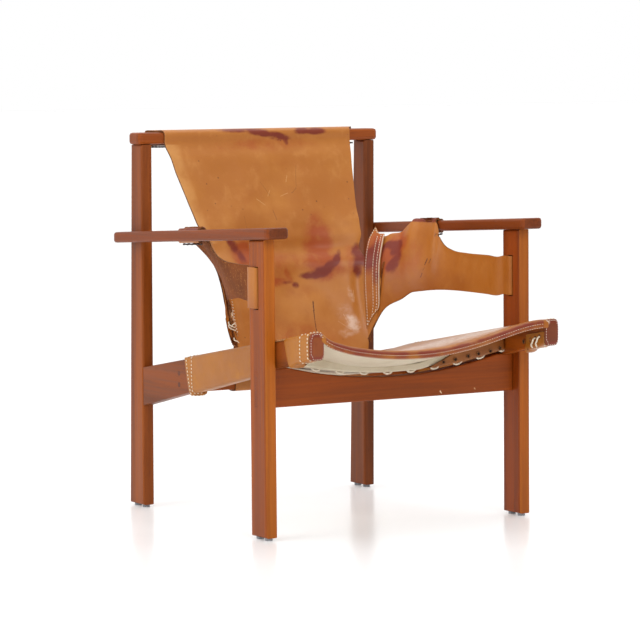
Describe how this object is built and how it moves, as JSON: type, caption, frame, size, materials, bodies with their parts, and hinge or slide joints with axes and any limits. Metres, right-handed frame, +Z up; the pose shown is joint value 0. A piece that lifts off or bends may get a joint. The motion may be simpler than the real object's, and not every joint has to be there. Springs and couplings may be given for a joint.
{
  "type": "leather sling lounge chair",
  "caption": "Low armchair with an oiled hardwood frame, a slung leather seat and a laced leather back whose wings strap round the arms and front posts.",
  "frame": {"origin": "on the floor, at the middle of the chair's bounding box", "axes": "+X to the right as seen from the front, +Y towards the rear, +Z up"},
  "size_m": [0.64, 0.7352, 0.7782],
  "materials": {
    "oiled_hardwood": "oiled satin with darker end grain",
    "tan_leather": "aged saddle leather, waxed, with darker stains",
    "pale_leather": "smooth natural leather",
    "canvas": "cream cotton canvas",
    "white_cord": "waxed cotton cord",
    "dark_lace": "waxed dark lace",
    "steel": "plain steel screws",
    "grey_plastic": "matt grey glides"
  },
  "bodies": {
    "root": {"arm_dowel_left": "oiled_hardwood", "arm_dowel_right": "oiled_hardwood", "arm_left": "oiled_hardwood", "arm_right": "oiled_hardwood", "arm_screw_left": "steel", "arm_screw_right": "steel", "back_hide": "tan_leather", "cross_rail_screw_lower_left": "steel", "cross_rail_screw_lower_right": "steel", "cross_rail_screw_upper_left": "steel", "cross_rail_screw_upper_right": "steel", "foot_lacing": "white_cord", "front_post_glide_front_left": "grey_plastic", "front_post_glide_front_right": "grey_plastic", "front_post_glide_rear_left": "grey_plastic", "front_post_glide_rear_right": "grey_plastic", "front_post_left": "oiled_hardwood", "front_post_right": "oiled_hardwood", "front_rail": "oiled_hardwood", "hem_cord": "white_cord", "rear_cross_rail": "oiled_hardwood", "rear_post_glide_front_left": "grey_plastic", "rear_post_glide_front_right": "grey_plastic", "rear_post_glide_rear_left": "grey_plastic", "rear_post_glide_rear_right": "grey_plastic", "rear_post_left": "oiled_hardwood", "rear_post_right": "oiled_hardwood", "screw_plug_lower_left": "oiled_hardwood", "screw_plug_lower_right": "oiled_hardwood", "screw_plug_upper_left": "oiled_hardwood", "screw_plug_upper_right": "oiled_hardwood", "seam_patch_left": "pale_leather", "seam_patch_right": "pale_leather", "seam_strip_left": "oiled_hardwood", "seam_strip_right": "oiled_hardwood", "seat_hide": "tan_leather", "seat_lining": "canvas", "side_lacing_left": "white_cord", "side_lacing_right": "white_cord", "side_rail_left": "oiled_hardwood", "side_rail_right": "oiled_hardwood", "side_rail_screw_left": "steel", "side_rail_screw_right": "steel", "tab_lacing_left": "dark_lace", "tab_lacing_right": "dark_lace", "tip_cap_left": "tan_leather", "tip_cap_right": "tan_leather", "tip_lacing_left": "white_cord", "tip_lacing_right": "white_cord", "top_lacing": "dark_lace", "top_rail": "oiled_hardwood", "top_rail_dowel_left": "oiled_hardwood", "top_rail_dowel_right": "oiled_hardwood", "under_canvas": "canvas", "under_panel": "pale_leather", "wing_left": "tan_leather", "wing_right": "tan_leather"}
  },
  "joints": []
}
